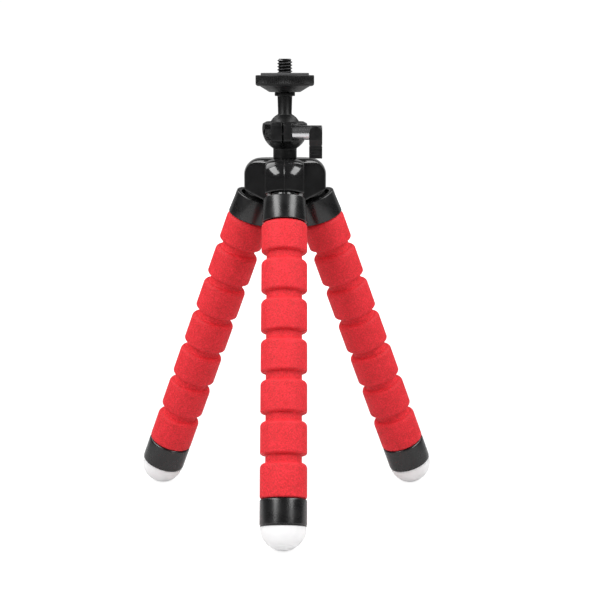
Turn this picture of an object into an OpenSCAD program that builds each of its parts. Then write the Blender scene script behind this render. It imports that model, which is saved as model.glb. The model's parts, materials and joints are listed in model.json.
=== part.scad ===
// Flexible leg tripod: a ball head on a three-lobed hub with three bendable foam legs.
// Millimetres, +Z up, feet on z = 0. The front leg points along -Y and the clamp lever is on the +X side.

/* [Camera seat] */
// Outer diameter of the camera screw, 1/4 inch
stud_d = 6.35; // [6:0.05:10]
// Length of the screw above the pad
stud_l = 5.85; // [4:0.05:9]
// Chamfer at the screw's tip
stud_chamfer = 0.8; // [0.2:0.1:1.2]
// Diameter of the screw's shank through the disc and the pad
shank_d = 5.2; // [4.6:0.1:5.8]
// Diameter of the screw's tail, which turns in the stem
tail_d = 3.6; // [3:0.1:4.2]
// Length of the tail inside the stem
tail_l = 7.5; // [4:0.5:10]
// Diameter of the rubber pad
pad_d = 20.2; // [16:0.1:23]
// Thickness of the rubber pad
pad_t = 0.95; // [0.6:0.05:2]
// Diameter of the knurled disc
disc_d = 24.5; // [22:0.1:30]
// Height of the knurled band
disc_h = 4.5; // [3:0.1:7]
// Rounding of the band's lower edge
disc_round = 1.1; // [0.4:0.1:1.5]
// Diameter of the dished underside where it meets the band
dish_d = 21.6; // [16:0.1:22]
// Diameter of the flat at the bottom of the dish
dish_flat_d = 13; // [9:0.1:14]
// Depth of the dished underside
dish_h = 2.45; // [1.5:0.05:4]
// Number of grooves in the knurl
knurl_count = 84; // [24:1:90]
// Diameter of one knurl groove
knurl_groove_d = 0.55; // [0.4:0.05:0.8]

/* [Ball and stem] */
// Diameter of the ball
ball_d = 13.4; // [12:0.1:15]
// Diameter of the stem at the ball
stem_low_d = 5.7; // [5:0.1:6.4]
// Diameter of the stem at the flange
stem_top_d = 6.2; // [5.4:0.1:7]
// Height from the ball's centre to the underside of the flange
stem_l = 13.6; // [11:0.1:18]
// Diameter of the flange under the disc
flange_d = 8.5; // [7:0.1:11]
// Thickness of the flange
flange_t = 1.55; // [0.8:0.05:2.5]

/* [Ball clamp] */
// Outer diameter of the round cup
cup_d = 19.1; // [17.5:0.1:22]
// Height of the cup's rim above the ball's centre
cup_rim = 3.05; // [2:0.05:3.6]
// Diameter of the flat lip round the cup's mouth
lip_d = 15.6; // [14.5:0.1:17]
// Drop of the chamfer outside the lip
lip_drop = 0.95; // [0.4:0.05:1.4]
// Height of the ball's centre above the hub
ball_rise = 12.35; // [11:0.05:16]
// Diameter of the neck
neck_d = 9.9; // [8:0.1:11]
// Diameter of the neck's spigot in the hub
spigot_d = 6.8; // [6:0.1:7.4]
// Length of the neck's spigot
spigot_l = 7; // [5:0.1:8]
// Width of the slit between the ears
slit_w = 0.6; // [0.5:0.1:1.6]
// Place of the slit to the left of the middle
slit_offset = 0.7; // [0:0.1:1.2]
// Depth of the slit below the ball's centre
slit_depth = 6.4; // [4:0.1:7]
// Outer face of the left ear, from the middle
ear_left = 5.7; // [4.5:0.1:6.5]
// Outer face of the right ear, from the middle
ear_right = 3; // [2.6:0.1:4]
// Height of the ears
ear_h = 8; // [7:0.1:9]
// Rounding of the ears' front edges
ear_round = 1.3; // [0.5:0.1:2]

/* [Clamp screw and lever] */
// Distance of the screw's axis in front of the ball's centre
screw_reach = 9.6; // [9.4:0.05:11]
// Distance of the screw's axis below the ball's centre
screw_drop = 1.2; // [0.5:0.05:2]
// Diameter of the clamp screw's thread
screw_d = 3; // [2.5:0.1:3.2]
// Diameter of the silver shoulder
shoulder_d = 6; // [5:0.1:6.4]
// Width across the nut's flats
nut_af = 5.5; // [5:0.1:6]
// Thickness of the nut
nut_t = 2.4; // [1.6:0.1:3]
// Length of thread past the nut
screw_past = 0.6; // [0:0.1:1.5]
// Gap round the shoulder where it runs past the cup
pocket_gap = 0.3; // [0.2:0.05:0.4]
// Gap from the cup to the lever
lever_gap = 0.6; // [0.4:0.1:3]
// Width of the lever along the screw
lever_w = 5.4; // [4:0.1:8]
// Length of the lever from the screw's axis to its end
lever_l = 10.6; // [8.5:0.1:10.9]
// Thickness of the lever's head
lever_head_t = 7.6; // [7.2:0.1:9]
// Thickness of the lever's grip
lever_grip_t = 4.6; // [3:0.1:6]
// Length of the grooved grip
grip_l = 5; // [4:0.1:5.4]
// Number of grooves across the grip
grip_grooves = 3; // [2:1:4]
// Depth of a grip groove
grip_groove_h = 0.35; // [0.2:0.05:0.5]
// Depth of the waist notch between head and grip
waist = 0.35; // [0.1:0.05:0.6]

/* [Hub] */
// Height of the hub's top above the legs' bending points
hub_h = 16.6; // [16:0.1:22]
// Distance of the legs' bending points from the middle
leg_r = 14.1; // [13.5:0.1:18]
// Width of a lobe
lobe_w = 16.1; // [13:0.1:17]
// Radius of a lobe's round end
lobe_r = 11; // [10:0.1:12]
// Reach of a lobe from the middle
lobe_reach = 18.35; // [17:0.05:20]
// Rounding of a lobe's shoulder
lobe_round = 7; // [4:0.1:8]
// Rounding of a lobe's side edges
lobe_side_round = 2.4; // [1:0.1:3]
// Gap from a lobe to the rim of its collar
lobe_gap = 2.1; // [1.9:0.05:3]
// Diameter of the stub that reaches into the collar
stub_d = 10.4; // [8:0.1:11]
// Height of the hub's top above the recess in its underside
core_h = 13.5; // [12:0.1:15]
// Diameter of the recess in the hub's underside
recess_d = 11; // [8:0.1:12]
// Diameter of the neck screw
neck_screw_d = 2.6; // [2:0.1:3]
// Diameter of the neck screw's head
neck_head_d = 5; // [4:0.1:5.6]
// Height of the neck screw's head
neck_head_h = 1.8; // [1.2:0.1:2.4]
// Length of the neck screw in the spigot
neck_screw_l = 5; // [3:0.1:6]

/* [Legs] */
// Tilt of a leg from the vertical
leg_tilt = 22.4; // [15:0.1:30]
// Length of a collar
collar_l = 10.2; // [9.5:0.1:13]
// Diameter of the collar's rim
collar_rim_d = 17.6; // [15:0.1:18]
// Diameter of the collar's foot, on the foam
collar_foot_d = 18.6; // [15.5:0.1:18.7]
// Thickness of the collar's rim
collar_wall = 1.9; // [1:0.05:2.2]
// Depth of a leg's bending point below the collar's rim
pivot_drop = 0.4; // [0.3:0.1:1.5]
// Diameter of the foam rings
foam_d = 18.8; // [18.4:0.1:21]
// Diameter of the foam in its grooves
foam_neck_d = 14.2; // [13:0.1:14.3]
// Width of a groove at its bottom
groove_w = 2.1; // [2.1:0.05:3]
// Rounding of a ring's upper edge
ring_round = 2; // [1:0.1:2.1]
// Rounding of a ring's lower edge, which is tighter
ring_low_round = 1; // [0.6:0.1:2]
// Rise of a ring's lower edge, which opens the groove upwards
ring_lift = 1.2; // [0:0.1:1.6]
// Length of the first ring, to the middle of its groove
foam_first = 15; // [14.5:0.1:20]
// Distance from one groove to the next
ring_pitch = 16.6; // [15.5:0.1:20]
// Length of the last ring, from the middle of its groove
foam_last = 15.1; // [15:0.1:20]
// Diameter of the core wire
wire_d = 3; // [2:0.1:3.4]
// Length of the core wire in the hub, above the bending point
wire_in_hub = 11; // [8:0.1:12]
// Diameter of the plugs that hold the foam's ends
plug_d = 8; // [6:0.1:9]
// Length of the plugs that hold the foam's ends
plug_l = 6; // [4:0.1:7]

/* [Feet] */
// Diameter of a ferrule
ferrule_d = 18.8; // [18.4:0.1:21]
// Length of a ferrule
ferrule_l = 10.9; // [9.5:0.1:14]
// Rounding of a ferrule's top edge
ferrule_round = 1; // [0.4:0.1:1.4]
// Thickness of a ferrule's top
ferrule_top = 2.6; // [2:0.1:3]
// Radius of a foot's dome
dome_r = 9.2; // [8:0.1:9.2]
// Height of the straight band above the dome
foot_band = 0.1; // [0.1:0.1:1.5]
// Diameter of the foot's plug in the ferrule
foot_plug_d = 13.5; // [10:0.1:14.5]
// Length of the foot's plug
foot_plug_l = 6.5; // [4:0.1:6.8]
// Depth of the wire's end in the foot's plug
wire_end = 3.5; // [1:0.1:4]

/* [Clearances] */
// Gap between the ball and its cup
ball_clear = 0.08; // [0.05:0.01:0.1]
// Gap round a shaft that turns
turn_clear = 0.06; // [0.03:0.01:0.1]
// Gap between two faces that turn on each other
face_clear = 0.1; // [0.05:0.01:0.2]
// Gap between pieces that are fixed to each other
seat_clear = 0.05; // [0.02:0.01:0.1]
// Gap round the core wire
wire_clear = 0.15; // [0.1:0.01:0.2]
// Gap between a foam neck and the ring below it
foam_clear = 0.2; // [0.15:0.01:0.3]

/* [Hidden] */
LEGS = ["front", "left", "right"];
AZIMUTHS = [-90, 150, 30];
RINGS = 7;
HEAD_NODES = [
    "camera_stud", "rubber_pad", "knurled_disc", "ball_stem", "ball_clamp",
    "clamp_screw", "clamp_nut", "clamp_lever", "hub", "neck_screw"
];
LEG_NODES = concat(
    ["core_wire", "collar"], [for (k = [1:RINGS]) str("foam_", k)], ["ferrule", "foot"]
);
$fn = 64;
// Longer than any cut
far = 4 * lobe_reach;

// Distances along a leg from the top of its foam, down to the foot
foam_l = foam_first + (RINGS - 2) * ring_pitch + foam_last;
dome_at = foam_l + ferrule_l + foot_band;
pivot_at = pivot_drop - collar_l;
lobe_at = -collar_l - lobe_gap;
function groove_at(k) = foam_first + (k - 1) * ring_pitch;

// Heights above the floor
foam_z = dome_r + dome_at * cos(leg_tilt);
pivot_z = foam_z - pivot_at * cos(leg_tilt);
hub_z = pivot_z + hub_h;
ball_z = hub_z + ball_rise;
rim_z = ball_z + cup_rim;
screw_z = ball_z - screw_drop;
flange_z = ball_z + stem_l;
dish_z = flange_z + flange_t + face_clear;
disc_z = dish_z + dish_h;
pad_z = disc_z + disc_h;
stud_z = pad_z + pad_t;

// The legs' tops, and the middle of the box round the three feet
foam_r = leg_r - pivot_at * sin(leg_tilt);
foot_r = foam_r + dome_at * sin(leg_tilt);
axis_y = foot_r / 4;

ball_r = ball_d / 2;
cup_r = cup_d / 2;
seat_r = ball_r + ball_clear;
lever_x = cup_r + lever_gap;
wire_hole_d = wire_d + 2 * wire_clear;
foam_neck_r = foam_neck_d / 2;

// Everything on the head's upright axis
module on_axis(z = 0) {
    translate([0, axis_y, z]) children();
}

// A leg's own frame: its foam's top at the origin, the leg running along -Z
module on_leg(azimuth) {
    on_axis() rotate([0, 0, azimuth]) translate([foam_r, 0, foam_z]) rotate([0, -leg_tilt, 0]) children();
}

// A ring about the Z axis between two radii, from one height to another
module tube_2d(inner, outer, low, high) {
    translate([inner, low]) square([outer - inner, high - low]);
}

// A circle about a point, without what lies across the axis
module disc_2d(radius, x, y) {
    intersection() {
        translate([x, y]) circle(radius);
        tube_2d(0, x + radius, y - radius, y + radius);
    }
}

// What a rounding takes off a square corner that points outwards to two sides
module round_off_2d(corner, out, radius) {
    centre = corner - radius * out;
    difference() {
        translate([min(corner.x, centre.x), min(corner.y, centre.y)]) square(radius);
        translate(centre) circle(radius);
    }
}

// A solid profile from the axis out to a radius, with its upper and lower outer edges rounded
module rounded_2d(radius, low, high, round_low, round_high) {
    difference() {
        tube_2d(0, radius, low, high);
        if (round_low > 0) round_off_2d([radius, low], [1, -1], round_low);
        if (round_high > 0) round_off_2d([radius, high], [1, 1], round_high);
    }
}

// A shaft along X through the clamp screw's axis
module on_screw(x, d, l) {
    translate([x, axis_y - screw_reach, screw_z]) rotate([0, 90, 0]) cylinder(d = d, h = l);
}

// A hexagon bar on the same axis, a flat at its front, by its width across the flats
module hexagon_bar(x, flats, l) {
    translate([x, axis_y - screw_reach, screw_z]) rotate([0, 90, 0])
        cylinder(d = flats / cos(30), h = l, $fn = 6);
}

module camera_stud() {
    top = stud_z + stud_l;
    color("dimgray") on_axis() rotate_extrude() polygon([
        [0, flange_z + flange_t - tail_l], [tail_d / 2, flange_z + flange_t - tail_l],
        [tail_d / 2, dish_z + face_clear], [shank_d / 2, dish_z + face_clear],
        [shank_d / 2, stud_z], [stud_d / 2, stud_z],
        [stud_d / 2, top - stud_chamfer], [stud_d / 2 - stud_chamfer, top], [0, top]
    ]);
}

module rubber_pad() {
    color("darkslategray") on_axis() rotate_extrude()
        tube_2d(stud_d / 2 + seat_clear, pad_d / 2, pad_z, stud_z);
}

// The disc in section: a band with a rounded lower edge over a dished underside
module disc_profile() {
    hole = shank_d / 2 + seat_clear;
    difference() {
        polygon([
            [hole, pad_z], [disc_d / 2, pad_z], [disc_d / 2, disc_z],
            [dish_d / 2, disc_z], [dish_flat_d / 2, dish_z], [hole, dish_z]
        ]);
        round_off_2d([disc_d / 2, disc_z], [1, -1], disc_round);
    }
}

module knurled_disc() {
    color("black") on_axis() difference() {
        rotate_extrude() disc_profile();
        for (i = [0:knurl_count - 1])
            rotate([0, 0, (i + 0.5) * 360 / knurl_count]) translate([disc_d / 2, 0, disc_z + disc_round])
                cylinder(d = knurl_groove_d, h = far, $fn = 16);
    }
}

module ball_stem() {
    color("black") on_axis() rotate_extrude() difference() {
        union() {
            disc_2d(ball_r, 0, ball_z);
            polygon([[0, ball_z], [stem_low_d / 2, ball_z], [stem_top_d / 2, flange_z], [0, flange_z]]);
            tube_2d(0, flange_d / 2, flange_z, flange_z + flange_t);
        }
        tube_2d(0, tail_d / 2 + turn_clear, flange_z + flange_t - tail_l - face_clear, flange_z + flange_t);
    }
}

// The cup before it is hollowed: a ball with a chamfered lip, on its neck and spigot
module cup_body() {
    difference() {
        union() {
            on_axis(ball_z) sphere(cup_r);
            on_axis(hub_z) cylinder(d = neck_d, h = ball_rise);
            on_axis(hub_z - spigot_l) cylinder(d = spigot_d, h = spigot_l + ball_rise);
        }
        on_axis() rotate_extrude() polygon([
            [lip_d / 2, rim_z], [cup_r, rim_z - lip_drop], [cup_r, ball_z + cup_r], [lip_d / 2, ball_z + cup_r]
        ]);
    }
}

// The pair of ears before the slit parts them, a block with rounded front edges
module ear_block() {
    front = screw_reach + shoulder_d / 2;
    low = screw_z - ear_h / 2;
    high = screw_z + ear_h / 2;
    translate([-ear_left, axis_y, 0]) rotate([90, 0, 90]) linear_extrude(ear_left + ear_right)
        mirror([1, 0]) difference() {
            tube_2d(ball_r / 2, front, low, high);
            round_off_2d([front, low], [1, -1], ear_round);
            round_off_2d([front, high], [1, 1], ear_round);
        }
}

module ball_clamp() {
    color("black") difference() {
        union() {
            cup_body();
            ear_block();
        }
        on_axis(rim_z) translate([-far / 2, -far / 2, 0]) cube(far);
        on_axis(ball_z) sphere(seat_r);
        translate([-slit_offset - slit_w / 2, axis_y - far, ball_z - slit_depth])
            cube([slit_w, far - ball_r / 4, far]);
        on_screw(-far / 2, screw_d + 2 * turn_clear, far);
        on_screw(ear_right, shoulder_d + 2 * pocket_gap, far);
        hexagon_bar(-ear_left - far, nut_af + 2 * seat_clear, far);
        on_axis(hub_z - spigot_l - far + neck_screw_l) cylinder(d = neck_screw_d + 2 * seat_clear, h = far);
    }
}

module clamp_screw() {
    thread_l = ear_left + nut_t + screw_past + ear_right;
    color("silver") {
        on_screw(ear_right + face_clear, shoulder_d, lever_x + lever_w - ear_right - face_clear);
        on_screw(ear_right - thread_l, screw_d, thread_l + face_clear);
    }
}

module clamp_nut() {
    color("gainsboro") difference() {
        hexagon_bar(-ear_left - nut_t, nut_af, nut_t);
        on_screw(-far / 2, screw_d + 2 * turn_clear, far);
    }
}

// The lever's face, seen along the screw's cross direction: a round head over a grooved grip
module lever_face_2d() {
    half = lever_w / 2;
    grip_top = -lever_l + grip_l;
    difference() {
        translate([-half, -lever_l]) square([lever_w, lever_l + half]);
        for (side = [-1, 1]) {
            round_off_2d([side * half, half], [side, 1], half);
            translate([side * half - waist, grip_top]) square([2 * waist, waist]);
        }
    }
}

// The lever's side outline: a thick head that steps down to the grip
module lever_side_2d() {
    head_low = -lever_l + grip_l + waist;
    pitch = grip_l / (grip_grooves + 1);
    difference() {
        polygon([
            [-lever_head_t / 2, lever_w], [lever_head_t / 2, lever_w],
            [lever_head_t / 2, -shoulder_d / 2], [lever_grip_t / 2, head_low],
            [lever_grip_t / 2, -lever_l], [-lever_grip_t / 2, -lever_l],
            [-lever_grip_t / 2, head_low], [-lever_head_t / 2, -shoulder_d / 2]
        ]);
        for (i = [1:grip_grooves], side = [-1, 1])
            translate([side * lever_grip_t / 2, -lever_l + i * pitch]) circle(grip_groove_h, $fn = 24);
    }
}

module clamp_lever() {
    color("black") difference() {
        translate([lever_x + lever_w / 2, axis_y - screw_reach, screw_z]) intersection() {
            rotate([90, 0, 0]) translate([0, 0, -far / 2]) linear_extrude(far) lever_face_2d();
            rotate([90, 0, 90]) translate([0, 0, -far / 2]) linear_extrude(far) lever_side_2d();
        }
        on_screw(lever_x - far / 2, shoulder_d + 2 * seat_clear, far);
    }
}

// One lobe: a round tower with a rounded shoulder, trimmed to the lobe's width
module lobe() {
    low = pivot_z - collar_l;
    trim_h = hub_z - low;
    intersection() {
        translate([lobe_reach - lobe_r, 0, 0]) rotate_extrude()
            rounded_2d(lobe_r, low, hub_z, 0, lobe_round);
        translate([-far / 2, 0, 0]) rotate([90, 0, 90]) linear_extrude(far)
            lobe_front_2d(low, trim_h);
    }
}

// The lobe seen from its end, with round upper corners
module lobe_front_2d(low, h) {
    difference() {
        translate([-lobe_w / 2, low]) square([lobe_w, h]);
        for (side = [-1, 1]) round_off_2d([side * lobe_w / 2, low + h], [side, 1], lobe_side_round);
    }
}

// The room below a lobe that its leg needs, square to the leg
module below_lobe() {
    translate([-far / 2, -far / 2, -far - lobe_at]) cube(far);
}

// The stub that carries a leg: a round end at the leg's bending point
module stub() {
    rotate_extrude() {
        disc_2d(stub_d / 2, 0, -pivot_at);
        tube_2d(0, stub_d / 2, -pivot_at, -lobe_at + lobe_gap);
    }
}

// The room that a leg's collar needs beside its neighbours' lobes
module leg_room() {
    translate([0, 0, -far - lobe_at]) cylinder(r = collar_rim_d / 2 + lobe_gap, h = far);
}

module hub() {
    color("black") difference() {
        union() {
            for (azimuth = AZIMUTHS) difference() {
                on_axis() rotate([0, 0, azimuth]) lobe();
                on_leg(azimuth) below_lobe();
                for (other = AZIMUTHS) if (other != azimuth) on_leg(other) leg_room();
            }
            on_axis(hub_z - spigot_l) cylinder(d = neck_d, h = spigot_l);
            for (azimuth = AZIMUTHS) on_leg(azimuth) stub();
        }
        on_axis(hub_z - core_h - far) cylinder(d = recess_d, h = far);
        on_axis(hub_z - spigot_l - seat_clear) cylinder(d = spigot_d + 2 * seat_clear, h = far);
        on_axis(hub_z - far) cylinder(d = neck_screw_d + 2 * seat_clear, h = far);
        for (azimuth = AZIMUTHS) on_leg(azimuth) translate([0, 0, -far - pivot_at + wire_in_hub])
            cylinder(d = wire_hole_d, h = far);
    }
}

module neck_screw() {
    seat = hub_z - core_h;
    tip = hub_z - spigot_l + neck_screw_l - seat_clear;
    color("silver") on_axis() rotate_extrude() polygon([
        [0, seat - neck_head_h], [neck_head_d / 2, seat - neck_head_h], [neck_head_d / 2, seat],
        [neck_screw_d / 2, seat], [neck_screw_d / 2, tip], [0, tip]
    ]);
}

module core_wire(azimuth) {
    low = -foam_l - ferrule_top - wire_end + wire_clear;
    color("silver") on_leg(azimuth) translate([0, 0, low])
        cylinder(d = wire_d, h = -pivot_at + wire_in_hub - wire_clear - low);
}

module collar(azimuth) {
    rim_r = collar_rim_d / 2;
    foot_r = collar_foot_d / 2;
    hole_r = rim_r - collar_wall;
    color("black") on_leg(azimuth) rotate_extrude() difference() {
        union() {
            polygon([[0, 0], [foot_r, 0], [rim_r, collar_l], [0, collar_l]]);
            tube_2d(0, plug_d / 2, -plug_l, 0);
        }
        tube_2d(0, hole_r, -pivot_at, collar_l);
        disc_2d(hole_r, 0, -pivot_at);
        tube_2d(0, wire_hole_d / 2, -plug_l, collar_l);
    }
}

// One foam ring. Its foot is a round neck about the next groove, and its top takes the neck above it.
module foam_ring(azimuth, k) {
    first = k == 1;
    last = k == RINGS;
    top = first ? 0 : -groove_at(k - 1);
    bottom = last ? -foam_l : -groove_at(k);
    high = first ? top : top - groove_w / 2;
    low = last ? bottom : bottom + groove_w / 2 + ring_lift;
    color("crimson") on_leg(azimuth) rotate_extrude() difference() {
        union() {
            rounded_2d(foam_d / 2, low, high, ring_low_round, ring_round);
            if (!last) intersection() {
                translate([0, bottom]) circle(foam_neck_r);
                tube_2d(0, foam_neck_r, bottom - foam_neck_r, low + ring_round);
            }
        }
        if (!first) disc_2d(foam_neck_r + foam_clear, 0, top);
        if (first) tube_2d(0, plug_d / 2 + seat_clear, -plug_l - seat_clear, 0);
        if (last) tube_2d(0, plug_d / 2 + seat_clear, bottom, bottom + plug_l + seat_clear);
        tube_2d(0, wire_hole_d / 2, bottom - far, top + far);
    }
}

module ferrule(azimuth) {
    top = -foam_l;
    color("black") on_leg(azimuth) rotate_extrude() difference() {
        union() {
            rounded_2d(ferrule_d / 2, top - ferrule_l, top, 0, ferrule_round);
            tube_2d(0, plug_d / 2, top, top + plug_l);
        }
        tube_2d(0, foot_plug_d / 2 + seat_clear, top - ferrule_l, top - ferrule_top);
        tube_2d(0, wire_hole_d / 2, top - ferrule_l, top + plug_l);
    }
}

module foot(azimuth) {
    top = -foam_l - ferrule_l;
    plug_top = top + foot_plug_l;
    color("whitesmoke") on_leg(azimuth) rotate_extrude() difference() {
        union() {
            intersection() {
                translate([0, -dome_at]) circle(dome_r);
                tube_2d(0, dome_r, -dome_at - dome_r, -dome_at);
            }
            tube_2d(0, dome_r, -dome_at, top);
            tube_2d(0, foot_plug_d / 2, -dome_at, plug_top);
        }
        tube_2d(0, wire_hole_d / 2, -foam_l - ferrule_top - wire_end, plug_top);
    }
}

camera_stud();
rubber_pad();
knurled_disc();
ball_stem();
ball_clamp();
clamp_screw();
clamp_nut();
clamp_lever();
hub();
neck_screw();
for (i = [0:len(LEGS) - 1]) {
    leg = str("leg_", LEGS[i], "_");
    core_wire(AZIMUTHS[i]);
    collar(AZIMUTHS[i]);
    for (k = [1:RINGS]) foam_ring(AZIMUTHS[i], k);
    ferrule(AZIMUTHS[i]);
    foot(AZIMUTHS[i]);
}
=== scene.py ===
import json
import math

import bmesh
import bpy
from mathutils import Matrix, Quaternion, Vector


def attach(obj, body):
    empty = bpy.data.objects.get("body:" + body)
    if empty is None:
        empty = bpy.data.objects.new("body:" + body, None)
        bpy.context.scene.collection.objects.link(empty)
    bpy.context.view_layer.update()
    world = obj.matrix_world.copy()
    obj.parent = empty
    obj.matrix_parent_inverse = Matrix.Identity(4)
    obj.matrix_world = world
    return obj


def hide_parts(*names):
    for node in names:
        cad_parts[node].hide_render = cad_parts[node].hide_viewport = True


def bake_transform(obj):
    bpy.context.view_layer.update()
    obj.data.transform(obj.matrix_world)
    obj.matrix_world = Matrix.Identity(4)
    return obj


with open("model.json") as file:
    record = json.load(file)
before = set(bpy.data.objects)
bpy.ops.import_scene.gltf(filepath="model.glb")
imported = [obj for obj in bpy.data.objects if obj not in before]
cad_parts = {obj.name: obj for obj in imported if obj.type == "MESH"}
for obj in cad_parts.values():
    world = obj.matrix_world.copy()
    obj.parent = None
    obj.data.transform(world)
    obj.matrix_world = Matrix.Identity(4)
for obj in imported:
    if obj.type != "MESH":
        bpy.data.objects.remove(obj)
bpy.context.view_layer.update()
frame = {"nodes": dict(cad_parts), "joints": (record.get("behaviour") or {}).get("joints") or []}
nodes = frame["nodes"]
joints = {joint["name"]: joint for joint in frame["joints"]}
mm = 0.001  # pieces are modelled in millimetres and placed in metres


# Places

framePlace = Matrix.Scale(mm, 4)


def at(jointName):
    return Vector(joints[jointName]["pos_m"])


def placed(base, up, front):
    zAxis = up.normalized()
    yAxis = (front.dot(zAxis) * zAxis - front).normalized()  # local -Y looks to the front
    xAxis = yAxis.cross(zAxis)
    turn = Matrix((xAxis, yAxis, zAxis)).transposed().to_4x4()
    return Matrix.Translation(base) @ turn @ framePlace


headAxis = Vector((at("plate_spin").x, at("plate_spin").y, 0))
headPlace = Matrix.Translation(headAxis) @ framePlace
bends = 6  # grooves that bend, in each leg
leg = {"pivotUp": 9.8, "firstGroove": 15.0, "pitch": 16.6, "foamLength": 113.1}  # from the top of the foam
legPlaces = {}
for legName in ("front", "left", "right"):
    legRoot = at(f"leg_{legName}_root")
    legUp = (legRoot - at(f"leg_{legName}_bend_{bends}")).normalized()
    legOut = Vector((legRoot.x - headAxis.x, legRoot.y - headAxis.y, 0))
    legPlaces[legName] = placed(legRoot - legUp * leg["pivotUp"] * mm, legUp, legOut)


# Materials

class Value:  # a socket with plain arithmetic
    def __init__(self, tree, socket=None):
        self.tree = tree
        self.socket = socket

    def node(self, kind, settings, inputs, output=0):
        made = self.tree.nodes.new(kind)
        for key, value in settings.items():
            setattr(made, key, value)
        for key, value in inputs.items():
            if isinstance(value, Value):
                self.tree.links.new(value.socket, made.inputs[key])
            else:
                made.inputs[key].default_value = value
        return Value(self.tree, made.outputs[output])

    def sum(self, operation, *values):
        return self.node("ShaderNodeMath", {"operation": operation}, dict(enumerate(values)))

    def __add__(self, other):
        return self.sum("ADD", self, other)

    def __sub__(self, other):
        return self.sum("SUBTRACT", self, other)

    def __mul__(self, other):
        return self.sum("MULTIPLY", self, other)

    def __radd__(self, other):
        return self.sum("ADD", other, self)

    def __rsub__(self, other):
        return self.sum("SUBTRACT", other, self)

    def __rmul__(self, other):
        return self.sum("MULTIPLY", other, self)


def painted(name, plain, varied):
    material = bpy.data.materials.new(name)
    material.use_nodes = True
    tree = material.node_tree
    shader = tree.nodes["Principled BSDF"]
    for key, value in plain.items():
        shader.inputs[key].default_value = value
    where = Value(tree).node("ShaderNodeTexCoord", {}, {}, "Object")
    for key, value in varied(where).items():
        tree.links.new(value.socket, shader.inputs[key])
    material.diffuse_color = plain.get("Base Color", (0.5, 0.5, 0.5, 1))
    return material


usual = {"low": 0.3, "high": 0.7}  # most of a noise lies between these


def noise(where, size, detail=3.0, rough=0.55):  # size of the grain in millimetres
    values = {"Vector": where, "Scale": 1 / (size * mm), "Detail": detail, "Roughness": rough}
    return where.node("ShaderNodeTexNoise", {}, values)


def ramp(value, stops):
    made = value.node("ShaderNodeValToRGB", {}, {"Fac": value})
    elements = made.socket.node.color_ramp.elements
    while len(elements) < len(stops):
        elements.new(0.5)
    for element, (place, colour) in zip(elements, stops):
        element.position = place
        element.color = (*colour, 1)
    return made


def shaded(value, dark, light):
    return ramp(value, [(usual["low"], dark), (usual["high"], light)])


def ranged(value, start, end, low=0, high=1, kind="LINEAR"):
    values = {"Value": value, "From Min": start, "From Max": end, "To Min": low, "To Max": high}
    return value.node("ShaderNodeMapRange", {"interpolation_type": kind}, values)


def between(value, low, high):  # a noise that runs from low to high
    return ranged(value, usual["low"], usual["high"], low, high)


def bumped(height, depth, strength=1.0):  # depth in millimetres
    values = {"Height": height, "Distance": depth * mm, "Strength": strength}
    return height.node("ShaderNodeBump", {}, values)


def mixed(share, first, second):  # by the mix node's colour sockets
    return share.node("ShaderNodeMix", {"data_type": "RGBA"}, {0: share, 6: first, 7: second}, 2)


def along(where, axis):
    return where.node("ShaderNodeSeparateXYZ", {}, {"Vector": where}, axis)


def distance(side, depth):
    return side.sum("SQRT", side * side + depth * depth)


def gray(level, blue):
    return (level, level, blue)


foamTone = {"grain": 0.6, "rough": 0.6, "cell": 0.55, "cloud": 4.0, "grainShare": 0.85, "cloudShare": 0.15,
            "roughness": (0.62, 0.8), "grainRise": 0.7, "cellRise": 0.5, "depth": 0.34, "strength": 0.8}
foamReds = [(0.34, (0.48, 0.002, 0.005)), (0.5, (0.68, 0.005, 0.013)), (0.66, (0.86, 0.02, 0.04))]


def foamLook(where):
    values = {"Vector": where, "Scale": 1 / (foamTone["cell"] * mm)}
    cells = where.node("ShaderNodeTexVoronoi", {}, values)
    grain = noise(where, foamTone["grain"], rough=foamTone["rough"])
    cloud = noise(where, foamTone["cloud"], detail=2.0)
    tone = grain * foamTone["grainShare"] + cloud * foamTone["cloudShare"]
    height = grain * foamTone["grainRise"] + cells * foamTone["cellRise"]
    return {"Base Color": ramp(tone, foamReds),
            "Roughness": between(grain, *foamTone["roughness"]),
            "Normal": bumped(height, foamTone["depth"], foamTone["strength"])}


def wornLook(tone):  # a fine bumpy grain, and slower changes of colour and gloss
    def look(where):
        grain = noise(where, tone["grain"], detail=2.0)
        wear = noise(where, tone["wear"], tone["detail"])
        return {"Base Color": shaded(wear, tone["dark"], tone["light"]),
                "Roughness": between(wear, *tone["roughness"]),
                "Normal": bumped(grain, tone["depth"], tone["strength"])}
    return look


satinTone = {"grain": 0.35, "wear": 5.0, "detail": 3.0, "dark": gray(0.004, 0.0042),
             "light": gray(0.007, 0.0073), "roughness": (0.24, 0.31), "depth": 0.008, "strength": 0.4}
plasticTone = {"grain": 0.3, "wear": 2.5, "detail": 4.0, "dark": gray(0.004, 0.0042),
               "light": gray(0.008, 0.0083), "roughness": (0.28, 0.44), "depth": 0.012, "strength": 0.5}
matteTone = {"grain": 0.25, "wear": 4.0, "detail": 3.0, "dark": gray(0.003, 0.0031),
             "light": gray(0.006, 0.0062), "roughness": (0.36, 0.48), "depth": 0.02, "strength": 0.5}

# the seam colour is a painted highlight, lighter than the hub, along the mould seam
glossTone = {"wear": 7.0, "dark": gray(0.006, 0.0062), "light": gray(0.010, 0.0102),
             "roughness": (0.12, 0.19), "seamAndHighlight": (0.02, 0.02, 0.02, 1), "seamInner": 0.05, "seamOuter": 0.22,
             "seamDepth": 0.05}


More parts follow.
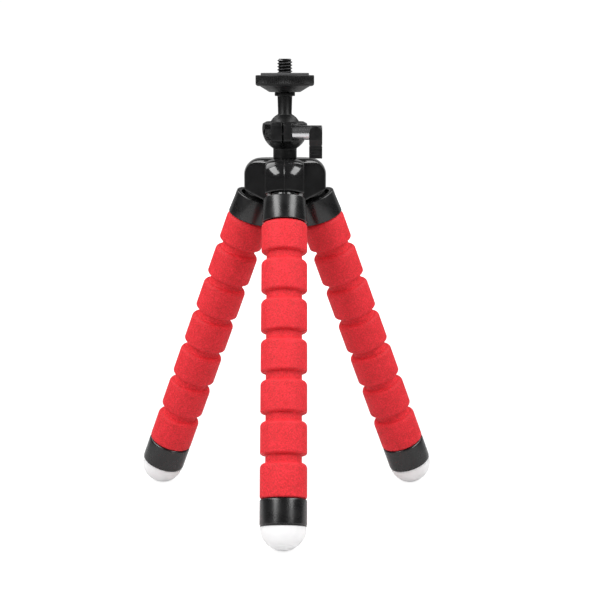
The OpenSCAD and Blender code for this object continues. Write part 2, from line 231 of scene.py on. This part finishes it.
def glossLook(where):
    wear = noise(where, glossTone["wear"])
    plain = shaded(wear, glossTone["dark"], glossTone["light"])
    side = along(where, "X") - headAxis.x
    depth = along(where, "Y") - headAxis.y
    turn = side.sum("ARCTAN2", depth, side) + math.pi / 2
    fold = turn.sum("PINGPONG", turn, math.pi / 3)  # nought at the middle of each lobe
    aside = distance(side, depth) * fold
    # along the seam the colour is painted lighter, a painted highlight on its ridge; the bump is the real
    # seam
    seamAndHighlight = ranged(aside, glossTone["seamInner"] * mm, glossTone["seamOuter"] * mm, 1, 0)
    return {"Base Color": mixed(seamAndHighlight, plain, glossTone["seamAndHighlight"]),
            "Roughness": between(wear, *glossTone["roughness"]),
            "Normal": bumped(seamAndHighlight, glossTone["seamDepth"])}


# the groove colour is a painted shade, near black in the thread's hollows
threadTone = {"wear": 1.5, "dark": gray(0.16, 0.165), "light": gray(0.26, 0.265), "roughness": (0.24, 0.34),
              "groove": (0.008, 0.008, 0.008, 1), "grooveAt": 2.75, "ridgeAt": 3.1}


def threadLook(where):  # the grooves are painted dark, a painted shade in the thread's hollows; the ridges keep the screw's own tone
    wear = noise(where, threadTone["wear"])
    screwTone = shaded(wear, threadTone["dark"], threadTone["light"])
    side = along(where, "X") - headAxis.x
    depth = along(where, "Y") - headAxis.y
    ridge = ranged(distance(side, depth), threadTone["grooveAt"] * mm, threadTone["ridgeAt"] * mm)
    return {"Base Color": mixed(ridge, threadTone["groove"], screwTone),
            "Roughness": between(wear, *threadTone["roughness"])}


rubberTone = {"grain": 0.4, "dark": gray(0.05, 0.051), "light": gray(0.08, 0.082), "roughness": (0.62, 0.75),
              "depth": 0.03, "strength": 0.5}


def rubberLook(where):
    grain = noise(where, rubberTone["grain"])
    return {"Base Color": shaded(grain, rubberTone["dark"], rubberTone["light"]),
            "Roughness": between(grain, *rubberTone["roughness"]),
            "Normal": bumped(grain, rubberTone["depth"], rubberTone["strength"])}


silverTone = {"line": 0.12, "dark": gray(0.56, 0.57), "light": gray(0.68, 0.69), "roughness": (0.16, 0.28),
              "depth": 0.004, "strength": 0.4, "thread": (0.02, 0.02, 0.021, 1), "shoulderAt": 3.0}


def silverLook(where):  # a bright turned shoulder and a dark thread
    side = along(where, "X")
    values = {"W": side, "Scale": 1 / (silverTone["line"] * mm)}
    lines = side.node("ShaderNodeTexNoise", {"noise_dimensions": "1D"}, values)
    bright = shaded(lines, silverTone["dark"], silverTone["light"])
    shoulder = side.sum("GREATER_THAN", side, silverTone["shoulderAt"] * mm)
    return {"Base Color": mixed(shoulder, silverTone["thread"], bright),
            "Roughness": between(lines, *silverTone["roughness"]),
            "Normal": bumped(lines, silverTone["depth"], silverTone["strength"])}


def metalLook(tone):
    def look(where):
        wear = noise(where, tone["wear"])
        return {"Base Color": shaded(wear, tone["dark"], tone["light"]),
                "Roughness": between(wear, *tone["roughness"])}
    return look


steelTone = {"wear": 0.8, "dark": gray(0.42, 0.43), "light": gray(0.55, 0.56), "roughness": (0.25, 0.38)}
darkSteelTone = {"wear": 0.8, "dark": gray(0.22, 0.225), "light": gray(0.32, 0.325),
                 "roughness": (0.14, 0.22)}

whiteTone = {"grain": 0.5, "cloud": 6.0, "dark": (0.88, 0.875, 0.88), "light": (0.92, 0.915, 0.92),
             "roughness": (0.42, 0.55), "depth": 0.02, "strength": 0.4}


def whiteLook(where):
    grain = noise(where, whiteTone["grain"])
    cloud = noise(where, whiteTone["cloud"], detail=2.0)
    return {"Base Color": shaded(cloud, whiteTone["dark"], whiteTone["light"]),
            "Roughness": between(grain, *whiteTone["roughness"]),
            "Normal": bumped(grain, whiteTone["depth"], whiteTone["strength"])}


hubCoat = {"Specular IOR Level": 0.5, "Coat Weight": 0.2, "Coat Roughness": 0.08}
rubbery = {"Specular IOR Level": 0.4, "Subsurface Weight": 0.6, "Subsurface Radius": (1.0, 1.0, 1.0),
           "Subsurface Scale": 4 * mm}
foamRed = painted("foamRed", {"Specular IOR Level": 0.55}, foamLook)
satinBlack = painted("satinBlack", {"Specular IOR Level": 0.6}, wornLook(satinTone))
plainBlack = painted("plainBlack", {"Specular IOR Level": 0.33}, wornLook(plasticTone))
hubBlack = painted("hubBlack", hubCoat, glossLook)
matteBlack = painted("matteBlack", {"Specular IOR Level": 0.25}, wornLook(matteTone))
screwBlack = painted("screwBlack", {"Metallic": 0.85}, threadLook)
padGray = painted("padGray", {"Specular IOR Level": 0.4}, rubberLook)
silver = painted("silver", {"Metallic": 1.0}, silverLook)
steel = painted("steel", {"Metallic": 1.0}, metalLook(steelTone))
darkSteel = painted("darkSteel", {"Metallic": 1.0}, metalLook(darkSteelTone))
footWhite = painted("footWhite", rubbery, whiteLook)
print("materials made")


# Shapes

weld = {"turned": 0.0002, "solid": 0.0005, "thread": 0.001, "cut": 1e-5}  # points this near are one


def arc(x, z, radius, fromAngle, toAngle, steps=8):
    angles = [math.radians(fromAngle + (toAngle - fromAngle) * i / steps) for i in range(steps + 1)]
    return [(x + radius * math.cos(a), z + radius * math.sin(a)) for a in angles]


def turned(mesh, outline, steps=96, closed=False):
    ring = [mesh.verts.new((r, 0, z)) for r, z in outline]
    lines = [mesh.edges.new(pair) for pair in zip(ring, ring[1:])]
    if closed:
        lines.append(mesh.edges.new((ring[-1], ring[0])))
    bmesh.ops.spin(mesh, geom=ring + lines, cent=(0, 0, 0), axis=(0, 0, 1), angle=2 * math.pi, steps=steps,
                   use_merge=True)
    bmesh.ops.remove_doubles(mesh, verts=mesh.verts[:], dist=weld["turned"])
    return mesh


def written(mesh, name):
    data = bpy.data.meshes.new(name)
    mesh.to_mesh(data)
    mesh.free()
    return data


def linked(name, data):
    made = bpy.data.objects.new(name, data)
    bpy.context.scene.collection.objects.link(made)
    return made


def worked(draft):  # the mesh after the draft's modifiers
    mesh = bmesh.new()
    mesh.from_object(draft, bpy.context.evaluated_depsgraph_get())
    return mesh


def dropped(draft):
    data = draft.data
    bpy.data.objects.remove(draft)
    bpy.data.meshes.remove(data)


def finished(mesh, name, place, material, replaced=(), sharp=32):
    bmesh.ops.recalc_face_normals(mesh, faces=mesh.faces[:])
    mesh.transform(place)
    data = written(mesh, name)
    data.shade_smooth()
    data.set_sharp_from_angle(angle=math.radians(sharp))
    data.materials.append(material)
    made = linked(name, data)
    if replaced:
        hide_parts(*replaced)
    return made


def softened(nodeName, grid, rounds):  # the CAD shape with its edges eased, in millimetres
    mesh = bmesh.new()
    mesh.from_mesh(nodes[nodeName].data)
    mesh.transform(Matrix.Scale(1 / mm, 4))
    bmesh.ops.remove_doubles(mesh, verts=mesh.verts[:], dist=weld["solid"])
    draft = linked(nodeName + "Draft", written(mesh, nodeName + "Draft"))
    even = draft.modifiers.new("even", "REMESH")
    even.mode = "VOXEL"
    even.voxel_size = grid
    mesh = worked(draft)
    dropped(draft)
    for _ in range(rounds):
        bmesh.ops.smooth_vert(mesh, verts=mesh.verts[:], factor=0.5, use_axis_x=True, use_axis_y=True,
                              use_axis_z=True)
    return mesh


# Camera screw

stud = {"major": 3.175, "minor": 2.6, "pitch": 1.27, "low": 185.097, "top": 190.947, "chamfer": 0.8,
        "shank": 2.6, "shankLow": 177.297, "tail": 1.8, "tailLow": 169.597, "steps": 56, "tailSteps": 48}
threadWave = [(0.0, 0), (0.16, 0), (0.24, 0.25), (0.36, 0.75), (0.44, 1), (0.56, 1), (0.64, 0.75),
              (0.76, 0.25), (0.84, 0), (1.0, 0)]  # shares of the pitch and of the depth


def threaded(mesh, size):
    pitch = size["pitch"]
    low = size["low"] - pitch
    turns = math.ceil((size["top"] - low) / pitch) + 1
    depth = size["major"] - size["minor"]
    ring = [mesh.verts.new((size["minor"] + depth * out, 0, low + pitch * up)) for up, out in threadWave]
    lines = [mesh.edges.new(pair) for pair in zip(ring, ring[1:])]
    bmesh.ops.spin(mesh, geom=ring + lines, cent=(0, 0, 0), axis=(0, 0, 1), angle=2 * math.pi * turns,
                   dvec=(0, 0, pitch / size["steps"]), steps=turns * size["steps"])
    bmesh.ops.remove_doubles(mesh, verts=mesh.verts[:], dist=weld["thread"])
    for height, away in ((size["low"], -1), (size["top"], 1)):
        bmesh.ops.bisect_plane(mesh, geom=mesh.verts[:] + mesh.edges[:] + mesh.faces[:], dist=weld["cut"],
                               plane_co=(0, 0, height), plane_no=(0, 0, away), clear_outer=True)
    for vert in mesh.verts:
        limit = size["major"] - max(0, vert.co.z - size["top"] + size["chamfer"])
        across = math.hypot(vert.co.x, vert.co.y)
        if across > limit:
            vert.co.x *= limit / across
            vert.co.y *= limit / across
    rims = [edge for edge in mesh.edges if edge.is_boundary]
    bmesh.ops.holes_fill(mesh, edges=rims)
    return mesh


shankOutline = [(0, stud["tailLow"]), (stud["tail"], stud["tailLow"]), (stud["tail"], stud["shankLow"]),
                (stud["shank"], stud["shankLow"]), (stud["shank"], stud["low"]), (0, stud["low"])]
studMesh = turned(threaded(bmesh.new(), stud), shankOutline, stud["tailSteps"])
cameraScrew = finished(studMesh, "cameraScrew", headPlace, screwBlack, ["camera_stud"])
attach(cameraScrew, "plate")


# Pad and knurled disc

pad = {"hole": 3.225, "radius": 10.1, "low": 184.147, "top": 185.097, "round": 0.3, "steps": 128}
padOutline = [(pad["hole"], pad["low"]), (pad["radius"], pad["low"]),
              *arc(pad["radius"] - pad["round"], pad["top"] - pad["round"], pad["round"], 0, 90, 5),
              (pad["hole"], pad["top"])]
padMesh = turned(bmesh.new(), padOutline, pad["steps"], closed=True)
rubberPad = finished(padMesh, "rubberPad", headPlace, padGray, ["rubber_pad"])
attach(rubberPad, "plate")

disc = {"radius": 12.25, "hole": 2.65, "low": 179.647, "top": 184.147, "topRound": 0.35, "lowRound": 1.1,
        "dish": 10.8, "dishFlat": 6.5, "dishLow": 177.197, "creaseIn": 0.1, "creaseOut": 0.15,
        "bandEdge": 0.12, "skin": 0.01, "teeth": 84, "tooth": 0.24, "toothCurve": 1.5, "toothSteps": 6,
        "toothEnd": 0.05}


def knurled(mesh, size):
    low = size["low"] + size["lowRound"] + size["toothEnd"]
    high = size["top"] - size["topRound"] - size["toothEnd"]
    for vert in mesh.verts:
        across = math.hypot(vert.co.x, vert.co.y)
        if across > size["radius"] - size["skin"] and low < vert.co.z < high:
            turn = math.atan2(vert.co.y, vert.co.x) * size["teeth"]
            inward = size["tooth"] * (0.5 - 0.5 * math.cos(turn)) ** size["toothCurve"]
            vert.co.x *= 1 - inward / across
            vert.co.y *= 1 - inward / across
    return mesh


bandLow = disc["low"] + disc["lowRound"]
bandHigh = disc["top"] - disc["topRound"]
discOutline = [(disc["hole"], disc["dishLow"]), (disc["dishFlat"], disc["dishLow"]),
               (disc["dish"] - disc["creaseIn"], disc["low"] + disc["creaseIn"]),
               (disc["dish"] + disc["creaseOut"], disc["low"]),
               *arc(disc["radius"] - disc["lowRound"], bandLow, disc["lowRound"], -90, 0, 8),
               (disc["radius"], bandLow + disc["bandEdge"]), (disc["radius"], bandHigh - disc["bandEdge"]),
               *arc(disc["radius"] - disc["topRound"], bandHigh, disc["topRound"], 0, 90, 5),
               (disc["hole"], disc["top"])]
discMesh = turned(bmesh.new(), discOutline, disc["teeth"] * disc["toothSteps"], closed=True)
knurledDisc = finished(knurled(discMesh, disc), "knurledDisc", headPlace, matteBlack,
                       ["knurled_disc"], sharp=40)
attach(knurledDisc, "plate")
print("camera screw, pad and disc made")


# Ball with its stem

ball = {"radius": 6.7, "centre": 161.947, "stemLow": 2.85, "stemTop": 3.1, "flange": 4.25,
        "flangeLow": 175.547, "flangeTop": 177.097, "edge": 0.3, "bore": 1.86, "boreLow": 169.447,
        "blendTurn": 2, "blendOut": 0.02, "blendUp": 0.25, "flareOut": 0.2, "flareDown": 0.25}
meet = math.degrees(math.acos(ball["stemLow"] / ball["radius"]))
meetHeight = ball["centre"] + ball["radius"] * math.sin(math.radians(meet))
ballOutline = [*arc(0, ball["centre"], ball["radius"], -90, meet - ball["blendTurn"], 40),
               (ball["stemLow"] + ball["blendOut"], meetHeight + ball["blendUp"]),
               (ball["stemTop"], ball["flangeLow"] - ball["flareDown"]),
               (ball["stemTop"] + ball["flareOut"], ball["flangeLow"]),
               *arc(ball["flange"] - ball["edge"], ball["flangeLow"] + ball["edge"], ball["edge"], -90, 0, 4),
               *arc(ball["flange"] - ball["edge"], ball["flangeTop"] - ball["edge"], ball["edge"], 0, 90, 4),
               (ball["bore"], ball["flangeTop"]), (ball["bore"], ball["boreLow"]), (0, ball["boreLow"])]
ballStem = finished(turned(bmesh.new(), ballOutline), "ballStem", headPlace, matteBlack,
                    ["ball_stem"])
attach(ballStem, "ball")


# Clamp with its lever and screw

clampMesh = softened("ball_clamp", grid=0.16, rounds=2)
ballClamp = finished(clampMesh, "ballClamp", framePlace, plainBlack, ["ball_clamp"],
                     sharp=60)
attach(ballClamp, "hub")
leverMesh = softened("clamp_lever", grid=0.1, rounds=3)
clampLever = finished(leverMesh, "clampLever", framePlace, plainBlack, ["clamp_lever"],
                      sharp=60)
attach(clampLever, "lever")

screw = {"shoulder": 3.0, "shoulderLow": 3.1, "shoulderEdge": 0.15, "end": 15.55, "chamfer": 0.35,
         "thread": 1.5, "threadLow": -8.7, "threadEdge": 0.3, "steps": 64}
screwPlace = Matrix.Translation((headAxis.x, at("lever_turn").y, at("lever_turn").z))
screwPlace = screwPlace @ Matrix.Rotation(math.pi / 2, 4, "Y") @ framePlace
screwOutline = [(0, screw["threadLow"]), (screw["thread"] - screw["threadEdge"], screw["threadLow"]),
                (screw["thread"], screw["threadLow"] + screw["threadEdge"]),
                (screw["thread"], screw["shoulderLow"]),
                (screw["shoulder"] - screw["shoulderEdge"], screw["shoulderLow"]),
                (screw["shoulder"], screw["shoulderLow"] + screw["shoulderEdge"]),
                (screw["shoulder"], screw["end"] - screw["chamfer"]),
                (screw["shoulder"] - screw["chamfer"], screw["end"]), (0, screw["end"])]
screwMesh = turned(bmesh.new(), screwOutline, screw["steps"])
clampScrew = finished(screwMesh, "clampScrew", screwPlace, silver, ["clamp_screw"])
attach(clampScrew, "lever")
nodes["clamp_nut"].data.materials.clear()
nodes["clamp_nut"].data.materials.append(darkSteel)
print("ball, clamp and lever made")


# Hub and the screw under it

hubMesh = softened("hub", grid=0.25, rounds=4)
hubBody = finished(hubMesh, "hubBody", framePlace, hubBlack, ["hub"], sharp=60)
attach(hubBody, "hub")

neck = {"seat": 136.097, "headHeight": 1.8, "headRadius": 2.5, "headRound": 0.6, "radius": 1.3,
        "tip": 147.547, "slotWide": 0.55, "slotLong": 2.6, "slotDeep": 0.9, "steps": 48}


def crossed(mesh, size):  # with a cross-shaped recess in its head
    cut = bmesh.new()
    low = size["seat"] - size["headHeight"]
    for wide, long in ((size["slotWide"], size["slotLong"]), (size["slotLong"], size["slotWide"])):
        block = bmesh.ops.create_cube(cut, size=1, matrix=Matrix.Translation((0, 0, low)))["verts"]
        bmesh.ops.scale(cut, verts=block, vec=(wide, long, 2 * size["slotDeep"]),
                        space=Matrix.Translation((0, 0, -low)))
    drafts = []
    for part, name in ((mesh, "headDraft"), (cut, "slotDraft")):
        bmesh.ops.recalc_face_normals(part, faces=part.faces[:])
        drafts.append(linked(name, written(part, name)))
    less = drafts[0].modifiers.new("less", "BOOLEAN")
    less.operation = "DIFFERENCE"
    less.use_self = True
    less.object = drafts[1]
    made = worked(drafts[0])
    for draft in drafts:
        dropped(draft)
    return made


headLow = neck["seat"] - neck["headHeight"]
headRound = neck["headRound"]
neckOutline = [(0, headLow), *arc(neck["headRadius"] - headRound, headLow + headRound, headRound, -90, 0, 6),
               (neck["headRadius"], neck["seat"]), (neck["radius"], neck["seat"]),
               (neck["radius"], neck["tip"]), (0, neck["tip"])]
neckMesh = crossed(turned(bmesh.new(), neckOutline, neck["steps"]), neck)
neckScrew = finished(neckMesh, "neckScrew", headPlace, steel, ["neck_screw"])
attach(neckScrew, "hub")
print("hub made")


# Legs

collar = {"length": 10.2, "rim": 8.8, "foot": 9.3, "lip": 0.5, "innerShare": 0.75, "taper": 3, "edge": 0.3,
          "cup": 6.9, "plug": 4.0, "plugLength": 6.0, "plugEdge": 0.3, "wireHole": 1.65}
foam = {"radius": 9.4, "neck": 7.3, "grooveHalf": 1.05, "lift": 1.2, "ringRound": 2.0, "lowRound": 1.0,
        "fillet": 0.35, "swell": 0.6, "bore": 1.65, "plug": 4.05, "plugLength": 6.05, "blendHalf": 2.6}
ferrule = {"radius": 9.4, "length": 10.9, "topRound": 1.0, "edge": 0.3, "lip": 0.7, "step": 0.2, "top": 2.6,
           "hole": 6.8, "plug": 4.0, "plugLength": 6.0, "bore": 1.65}
foot = {"radius": 9.2, "band": 0.1, "edge": 0.2, "plug": 6.75, "plugLength": 6.5, "plugEdge": 0.3,
        "bore": 1.65, "wireEnd": 3.5, "ringAngle": 38, "ringHalf": 1.5, "ringFloor": 1, "ringDeep": 0.12}
wire = {"radius": 1.5, "top": 20.65, "low": -119.05, "blendHalf": 3.0, "steps": 24, "bendReach": 1.5,
        "bendCuts": 4, "rootMiddle": 2.0, "rootBlend": 1.5, "rootHalf": 3.5}


def grooveHeight(number):
    return -leg["firstGroove"] - (number - 1) * leg["pitch"]


def collarOutline():
    inner = collar["cup"]
    top = collar["length"]
    lip = collar["lip"]
    innerLip = lip * collar["innerShare"]
    plugEdge = collar["plugEdge"]
    cupLow = math.degrees(math.acos(collar["wireHole"] / inner))
    return [(collar["wireHole"], -collar["plugLength"]), (collar["plug"] - plugEdge, -collar["plugLength"]),
            (collar["plug"], -collar["plugLength"] + plugEdge), (collar["plug"], 0),
            *arc(collar["foot"] - collar["edge"], collar["edge"], collar["edge"], -90, 0, 4),
            *arc(collar["rim"] - lip, top - lip, lip, collar["taper"], 90, 5),
            *arc(inner + innerLip, top - innerLip, innerLip, 90, 180, 4),
            *arc(0, leg["pivotUp"], inner, 0, -cupLow, 14)]


def foamOutline(number):
    ring = foam["ringRound"]
    tight = foam["lowRound"]
    fillet = foam["fillet"]
    swell = foam["swell"]
    radius = foam["radius"]
    neckRadius = foam["neck"]
    grooveAt = grooveHeight(number)
    upper = grooveAt + foam["grooveHalf"] + foam["lift"]
    lower = grooveAt - foam["grooveHalf"]
    shoulder = ring + swell  # both radii of the soft shoulder below the neck
    slope = math.degrees(math.acos(1 - (radius - neckRadius) / shoulder))
    rise = shoulder * math.sin(math.radians(slope))
    if number == 1:
        outline = [(foam["bore"], -foam["plugLength"]), (foam["plug"], -foam["plugLength"]),
                   (foam["plug"], 0), *arc(radius - ring, -ring, ring, 90, 0, 10)]
    else:
        outline = [(foam["bore"], grooveAt + leg["pitch"] / 2), (radius, grooveAt + leg["pitch"] / 2)]
    outline += [*arc(radius - tight, upper + tight, tight, 0, -90, 8),
                *arc(neckRadius + fillet, upper - fillet, fillet, 90, 180, 4),
                *arc(neckRadius + swell, lower - ring + rise, swell, 180, 180 + slope, 6),
                *arc(radius - ring, lower - ring, ring, slope, 0, 10)]
    if number == bends:
        end = -leg["foamLength"]
        outline += [*arc(radius - tight, end + tight, tight, 0, -90, 8), (foam["plug"], end),
                    (foam["plug"], end + foam["plugLength"]), (foam["bore"], end + foam["plugLength"])]
    else:
        outline += [(radius, grooveAt - leg["pitch"] / 2), (foam["bore"], grooveAt - leg["pitch"] / 2)]
    return outline


def ferruleOutline():
    top = -leg["foamLength"]
    low = top - ferrule["length"]
    radius = ferrule["radius"]
    topRound = ferrule["topRound"]
    edge = ferrule["edge"]
    step = ferrule["step"]
    return [(ferrule["bore"], top + ferrule["plugLength"]), (ferrule["plug"], top + ferrule["plugLength"]),
            (ferrule["plug"], top), *arc(radius - topRound, top - topRound, topRound, 90, 0, 7),
            (radius, low + ferrule["lip"] + step), (radius - step, low + ferrule["lip"]),
            *arc(radius - step - edge, low + edge, edge, 0, -90, 4), (ferrule["hole"], low),
            (ferrule["hole"], top - ferrule["top"]), (ferrule["bore"], top - ferrule["top"])]


def footOutline():
    top = -leg["foamLength"] - ferrule["length"]
    radius = foot["radius"]
    edge = foot["edge"]
    plugTop = top + foot["plugLength"]
    centre = top - foot["band"]
    ring = -90 + foot["ringAngle"]
    half = foot["ringHalf"]
    flat = foot["ringFloor"]
    wireLow = -leg["foamLength"] - ferrule["top"] - foot["wireEnd"]
    return [(0, wireLow), (foot["bore"], wireLow), (foot["bore"], plugTop),
            (foot["plug"] - foot["plugEdge"], plugTop), (foot["plug"], plugTop - foot["plugEdge"]),
            (foot["plug"], top), (radius - edge, top), (radius, top - edge),
            *arc(0, centre, radius, 0, ring + half, 18),
            *arc(0, centre, radius - foot["ringDeep"], ring + flat, ring - flat, 2),
            *arc(0, centre, radius, ring - half, -90, 14)]


def wireOutline(high, low, middle):
    reach = wire["bendReach"]
    cuts = wire["bendCuts"]
    count = round(2 * reach * cuts) + 1
    bend = [middle + foam["blendHalf"] * (i / cuts - reach) for i in range(count)]
    heights = [high, *[z for z in reversed(bend) if low < z < high], low]
    return [(0, high), *[(wire["radius"], z) for z in heights], (0, low)]


def blended(piece, place, middle, half):
    start = place @ Vector((0, 0, middle + half))
    end = place @ Vector((0, 0, middle - half))
    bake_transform(piece)


for legName, place in legPlaces.items():
    bodies = [f"leg_{legName}_{i}" for i in range(1, bends + 2)]  # the last carries ferrule and foot
    shell = turned(bmesh.new(), collarOutline(), closed=True)
    cup = finished(shell, f"collar_{legName}", place, satinBlack, [f"leg_{legName}_collar"])
    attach(cup, bodies[0])
    for number in range(1, bends + 1):
        grooveAt = grooveHeight(number)
        stands = [f"leg_{legName}_foam_{number}"]
        if number == bends:
            stands.append(f"leg_{legName}_foam_{bends + 1}")
        skin = turned(bmesh.new(), foamOutline(number), closed=True)
        sleeve = finished(skin, f"foam_{legName}_{number}", place, foamRed, stands)
        blended(sleeve, place, grooveAt, foam["blendHalf"])
        high = grooveAt + leg["pitch"] / 2
        low = grooveAt - leg["pitch"] / 2 if number < bends else wire["low"]
        rod = turned(bmesh.new(), wireOutline(high, low, grooveAt), wire["steps"])
        core = finished(rod, f"wire_{legName}_{number}", place, steel)
        blended(core, place, grooveAt, wire["blendHalf"])
    firstHigh = -leg["firstGroove"] + leg["pitch"] / 2
    rod = turned(bmesh.new(), wireOutline(wire["top"], firstHigh, wire["rootMiddle"]), wire["steps"])
    core = finished(rod, f"wire_{legName}_root", place, steel, [f"leg_{legName}_core_wire"])
    blended(core, place, wire["rootBlend"], wire["rootHalf"])
    shell = turned(bmesh.new(), ferruleOutline(), closed=True)
    end = finished(shell, f"ferrule_{legName}", place, satinBlack,
                   [f"leg_{legName}_ferrule"])
    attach(end, bodies[6])
    dome = turned(bmesh.new(), footOutline())
    tip = finished(dome, f"foot_{legName}", place, footWhite, [f"leg_{legName}_foot"])
    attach(tip, bodies[6])
print("legs made")


# Floor, light and camera, in metres

white = (1, 1, 1, 1)


def rays(start, kind):
    return start.node("ShaderNodeLightPath", {}, {}, kind)


def wired(owner, look, outputKind="ShaderNodeOutputMaterial"):  # a material or a world
    owner.use_nodes = True
    tree = owner.node_tree
    tree.nodes.clear()
    output = tree.nodes.new(outputKind)
    tree.links.new(look(Value(tree)).socket, output.inputs[0])
    return owner


ground = {"radius": 6, "sides": 64, "near": 0.12, "far": 0.6, "nearShare": 0.6, "glow": 1.42,
          "colour": (0.66, 0.66, 0.66, 1)}


def floorLook(start):  # the camera sees it glow, most of all away from the feet
    where = start.node("ShaderNodeTexCoord", {}, {}, "Object")
    away = where.node("ShaderNodeVectorMath", {"operation": "LENGTH"}, {0: where}, "Value")
    share = ranged(away, ground["near"], ground["far"], ground["nearShare"], 1, "SMOOTHSTEP")
    plain = start.node("ShaderNodeBsdfDiffuse", {}, {"Color": ground["colour"]})
    bright = start.node("ShaderNodeEmission", {}, {"Color": white, "Strength": ground["glow"]})
    seen = rays(start, "Is Camera Ray")
    return start.node("ShaderNodeMixShader", {}, {0: seen * share, 1: plain, 2: bright})


floorMesh = bmesh.new()
bmesh.ops.create_circle(floorMesh, cap_ends=True, segments=ground["sides"], radius=ground["radius"])
floor = linked("floor", written(floorMesh, "floor"))
floor.data.materials.append(wired(bpy.data.materials.new("paleFloor"), floorLook))

wall = {"radius": 1.6, "height": 0.9, "from": 36, "to": 144, "steps": 48, "seen": 1.03, "mirrored": 0.4}


def wallLook(start):
    strength = rays(start, "Is Camera Ray") * wall["seen"] + rays(start, "Is Glossy Ray") * wall["mirrored"]
    return start.node("ShaderNodeEmission", {}, {"Color": white, "Strength": strength})


wallMesh = bmesh.new()
wallEnds = [wallMesh.verts.new((wall["radius"], 0, z)) for z in (0, wall["height"])]
wallLine = wallMesh.edges.new(wallEnds)
wallTurn = Matrix.Rotation(math.radians(wall["from"]), 3, "Z")
bmesh.ops.rotate(wallMesh, verts=wallEnds, cent=(0, 0, 0), matrix=wallTurn)
bmesh.ops.spin(wallMesh, geom=wallEnds + [wallLine], cent=(0, 0, 0), axis=(0, 0, 1), steps=wall["steps"],
               angle=math.radians(wall["to"] - wall["from"]))
backdrop = linked("backdrop", written(wallMesh, "backdrop"))
backdrop.data.materials.append(wired(bpy.data.materials.new("paleBackdrop"), wallLook))

sky = {"seen": 0.96, "around": 0.07}  # extra for the camera, and what all rays see


def skyLook(start):
    strength = rays(start, "Is Camera Ray") * sky["seen"] + sky["around"]
    return start.node("ShaderNodeBackground", {}, {"Color": white, "Strength": strength})


bpy.context.scene.world = wired(bpy.data.worlds.new("studio"), skyLook, "ShaderNodeOutputWorld")

lampAway = 0.8
lampAim = headAxis + Vector((0, 0, 0.10))


def softbox(name, azimuth, elevation, wide, tall, power, roll=0):
    turn = math.radians(azimuth)
    lift = math.radians(elevation)
    way = Vector((math.sin(turn) * math.cos(lift), -math.cos(turn) * math.cos(lift), math.sin(lift)))
    light = bpy.data.lights.new(name, "AREA")
    light.shape = "RECTANGLE"
    light.size = wide
    light.size_y = tall
    light.energy = power
    lamp = linked(name, light)
    lamp.location = lampAim + way * lampAway
    lamp.rotation_mode = "QUATERNION"
    lamp.rotation_quaternion = (-way).to_track_quat("-Z", "Y") @ Quaternion((0, 0, 1), math.radians(roll))


softbox("leftBox", azimuth=-57, elevation=42, wide=0.8, tall=0.34, power=7.1, roll=-36)
softbox("rightBox", azimuth=60, elevation=42, wide=0.8, tall=0.34, power=6.4, roll=36)
softbox("leftRear", azimuth=-128, elevation=50, wide=0.5, tall=0.4, power=1.9)
softbox("rightRear", azimuth=128, elevation=50, wide=0.5, tall=0.4, power=1.8)

view = {"lens": 88.46, "sensor": 36, "clip": 0.01, "distance": 0.6223, "height": 0.18813, "pitch": 9.037,
        "turn": 0.78, "pan": 0.583}
viewTurn = Matrix.Rotation(math.radians(view["turn"]), 3, "Z")
viewPan = Matrix.Rotation(math.radians(view["turn"] - view["pan"]), 3, "Z")
viewPitch = math.radians(view["pitch"])
cameraData = bpy.data.cameras.new("camera")
cameraData.lens = view["lens"]
cameraData.sensor_width = view["sensor"]
cameraData.clip_start = view["clip"]
camera = linked("camera", cameraData)
camera.location = headAxis + viewTurn @ Vector((0, -view["distance"], 0)) + Vector((0, 0, view["height"]))
camera.rotation_mode = "QUATERNION"
ahead = viewPan @ Vector((0, math.cos(viewPitch), -math.sin(viewPitch)))
camera.rotation_quaternion = ahead.to_track_quat("-Z", "Y")
bpy.context.scene.camera = camera
bpy.context.scene.view_settings.view_transform = "Standard"
print("floor, lamps and camera made")
